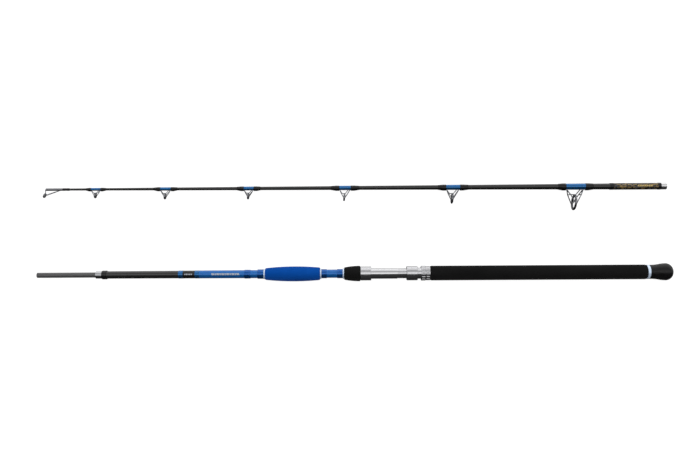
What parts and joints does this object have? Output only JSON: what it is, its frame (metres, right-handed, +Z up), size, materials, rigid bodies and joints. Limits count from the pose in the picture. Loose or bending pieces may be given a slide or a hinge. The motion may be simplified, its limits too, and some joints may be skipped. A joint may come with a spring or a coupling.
{
  "type": "fishing rod",
  "caption": "Two-piece boat fishing rod laid apart: tip section with ceramic line guides, butt section with foam grips, screw-down reel seat and rubber butt cap.",
  "frame": {"origin": "centre of the footprint of the two sections, on the surface that they lie on", "axes": "+X along both sections from the tip towards the butt, +Y from the butt section to the tip section, away from the side that the guides face, +Z up from the surface"},
  "size_m": [1.274, 0.196, 0.0342],
  "materials": {
    "blank_lacquer": "dark grey glass-composite blank under clear gloss lacquer",
    "spigot_matt": "ground composite, matt dark grey",
    "guide_metal": "smoked stainless steel wire",
    "guide_ceramic": "polished dark ceramic",
    "binding_black": "black thread under clear epoxy",
    "band_blue": "metallic blue thread under clear epoxy",
    "trim_blue": "dark metallic blue thread under clear epoxy",
    "panel_black": null,
    "lacquer_blue": "deep blue gloss lacquer",
    "foam_blue": "matt blue closed-cell foam",
    "foam_black": "matt black closed-cell foam",
    "cap_rubber": "moulded black rubber, slight sheen",
    "trim_metal": "bright polished aluminium",
    "trim_pearl": "pale pearl moulded trim rings",
    "seat_metal": "polished anodised aluminium",
    "arbor_resin": "turned resin bushing"
  },
  "bodies": {
    "butt_section": {"butt_blank": "blank_lacquer", "cone_grip": "foam_black", "data_panel": "panel_black", "ferrule_knob_binding": "binding_black", "fixed_hood": "seat_metal", "foregrip": "foam_blue", "gimbal_nock": "seat_metal", "lacquer_sleeve_front": "lacquer_blue", "lacquer_sleeve_rear": "lacquer_blue", "panel_bands": "band_blue", "rear_grip": "foam_black", "rear_trim_ring": "trim_pearl", "seat_arbors": "arbor_resin", "seat_thread": "seat_metal", "seat_tube": "seat_metal", "spigot": "spigot_matt", "spigot_stop_ring": "trim_metal", "trim_bindings": "trim_blue", "winding_checks": "trim_pearl"},
    "tip_section": {"ferrule_front_band": "binding_black", "ferrule_rear_band": "binding_black", "ferrule_ring": "trim_metal", "ferrule_sleeve": "panel_black", "guide_1_band": "band_blue", "guide_1_bindings": "binding_black", "guide_1_frame": "guide_metal", "guide_1_ring": "guide_ceramic", "guide_2_band": "band_blue", "guide_2_bindings": "binding_black", "guide_2_frame": "guide_metal", "guide_2_ring": "guide_ceramic", "guide_3_band": "band_blue", "guide_3_bindings": "binding_black", "guide_3_frame": "guide_metal", "guide_3_ring": "guide_ceramic", "guide_4_band": "band_blue", "guide_4_bindings": "binding_black", "guide_4_frame": "guide_metal", "guide_4_ring": "guide_ceramic", "guide_5_band": "band_blue", "guide_5_bindings": "binding_black", "guide_5_frame": "guide_metal", "guide_5_ring": "guide_ceramic", "guide_6_band": "band_blue", "guide_6_bindings": "binding_black", "guide_6_frame": "guide_metal", "guide_6_ring": "guide_ceramic", "tip_blank": "blank_lacquer", "tip_top_frame": "guide_metal", "tip_top_ring": "guide_ceramic", "tip_top_whippings": "binding_black"},
    "butt_cap": {"butt_cap": "cap_rubber"},
    "sliding_hood": {"sliding_hood": "seat_metal"},
    "clamp_nut": {"clamp_nut": "seat_metal"},
    "lock_nut": {"lock_nut": "seat_metal"}
  },
  "joints": [
    {"name": "butt_cap_pull", "type": "slide", "parent": "butt_section", "child": "butt_cap", "axis": [1, 0, 0], "range_m": [0, 0.4427]},
    {"name": "tip_section_carry", "type": "slide", "parent": "butt_cap", "child": "tip_section", "axis": [-0.9942, -0.1077, 0.0007], "range_m": [0, 1.59729]},
    {"name": "sliding_hood_travel", "type": "slide", "parent": "butt_section", "child": "sliding_hood", "axis": [-1, 0, 0], "range_m": [0, 0.0301]},
    {"name": "clamp_nut_turn", "type": "hinge", "parent": "sliding_hood", "child": "clamp_nut", "pos_m": [0.1374, -0.08095, 0.0171], "axis": [-1, 0, 0], "range_deg": [0, 5400]},
    {"name": "lock_nut_turn", "type": "hinge", "parent": "sliding_hood", "child": "lock_nut", "pos_m": [0.1465, -0.08095, 0.0171], "axis": [-1, 0, 0], "range_deg": [0, 5400]}
  ],
  "couplings": [
    {"joint": "sliding_hood_travel", "follows": "clamp_nut_turn", "m_per_rad": 0.00031831},
    {"joint": "lock_nut_turn", "follows": "clamp_nut_turn", "ratio": 1}
  ]
}
